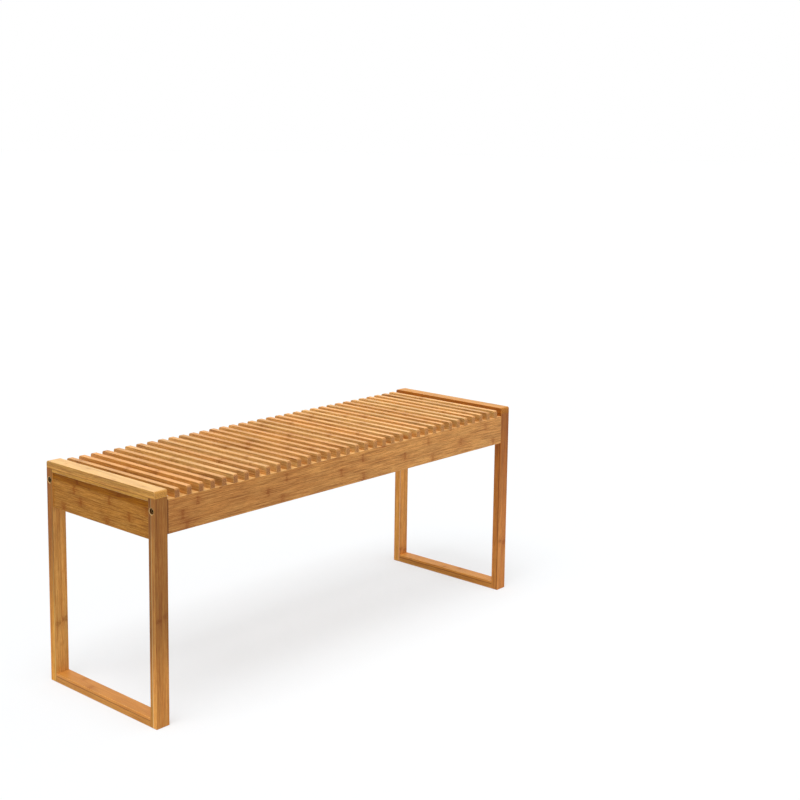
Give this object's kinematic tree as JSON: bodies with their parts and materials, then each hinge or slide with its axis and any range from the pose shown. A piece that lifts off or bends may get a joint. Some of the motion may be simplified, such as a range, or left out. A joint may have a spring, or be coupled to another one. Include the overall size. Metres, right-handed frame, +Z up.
{
  "type": "slatted bench",
  "caption": "Long low bench in laminated bamboo, with a slatted seat carried on long aprons between framed ends.",
  "frame": {"origin": "on the floor, under the middle of the bench", "axes": "+X along the length, +Y from the front to the rear, +Z up"},
  "size_m": [1.068, 0.334, 0.45],
  "materials": {
    "leg_bamboo": "satin lacquered bamboo",
    "cap_bamboo": "satin lacquered bamboo",
    "apron_bamboo": "satin lacquered bamboo",
    "slat_bamboo": "satin lacquered bamboo",
    "dowel_wood": "bare turned wood",
    "steel": "zinc-plated steel"
  },
  "bodies": {
    "root": {"left_front_leg": "leg_bamboo", "left_rear_leg": "leg_bamboo", "left_cap_rail": "cap_bamboo", "left_end_apron": "apron_bamboo", "left_floor_rail": "leg_bamboo", "right_front_leg": "leg_bamboo", "right_rear_leg": "leg_bamboo", "right_cap_rail": "cap_bamboo", "right_end_apron": "apron_bamboo", "right_floor_rail": "leg_bamboo", "front_apron": "apron_bamboo", "rear_apron": "apron_bamboo", "slat_01": "slat_bamboo", "slat_02": "slat_bamboo", "slat_03": "slat_bamboo", "slat_04": "slat_bamboo", "slat_05": "slat_bamboo", "slat_06": "slat_bamboo", "slat_07": "slat_bamboo", "slat_08": "slat_bamboo", "slat_09": "slat_bamboo", "slat_10": "slat_bamboo", "slat_11": "slat_bamboo", "slat_12": "slat_bamboo", "slat_13": "slat_bamboo", "slat_14": "slat_bamboo", "slat_15": "slat_bamboo", "slat_16": "slat_bamboo", "slat_17": "slat_bamboo", "slat_18": "slat_bamboo", "slat_19": "slat_bamboo", "slat_20": "slat_bamboo", "slat_21": "slat_bamboo", "slat_22": "slat_bamboo", "slat_23": "slat_bamboo", "slat_24": "slat_bamboo", "slat_25": "slat_bamboo", "slat_26": "slat_bamboo", "slat_27": "slat_bamboo", "slat_28": "slat_bamboo", "slat_29": "slat_bamboo", "slat_30": "slat_bamboo", "slat_31": "slat_bamboo", "slat_32": "slat_bamboo", "slat_33": "slat_bamboo", "slat_34": "slat_bamboo", "slat_35": "slat_bamboo", "frame_bolts": "steel", "bolt_washers": "steel", "barrel_nuts": "steel", "apron_dowels": "dowel_wood", "end_apron_dowels": "dowel_wood", "floor_rail_dowels": "dowel_wood", "cap_dowels": "dowel_wood", "slat_pins": "dowel_wood"}
  },
  "joints": []
}
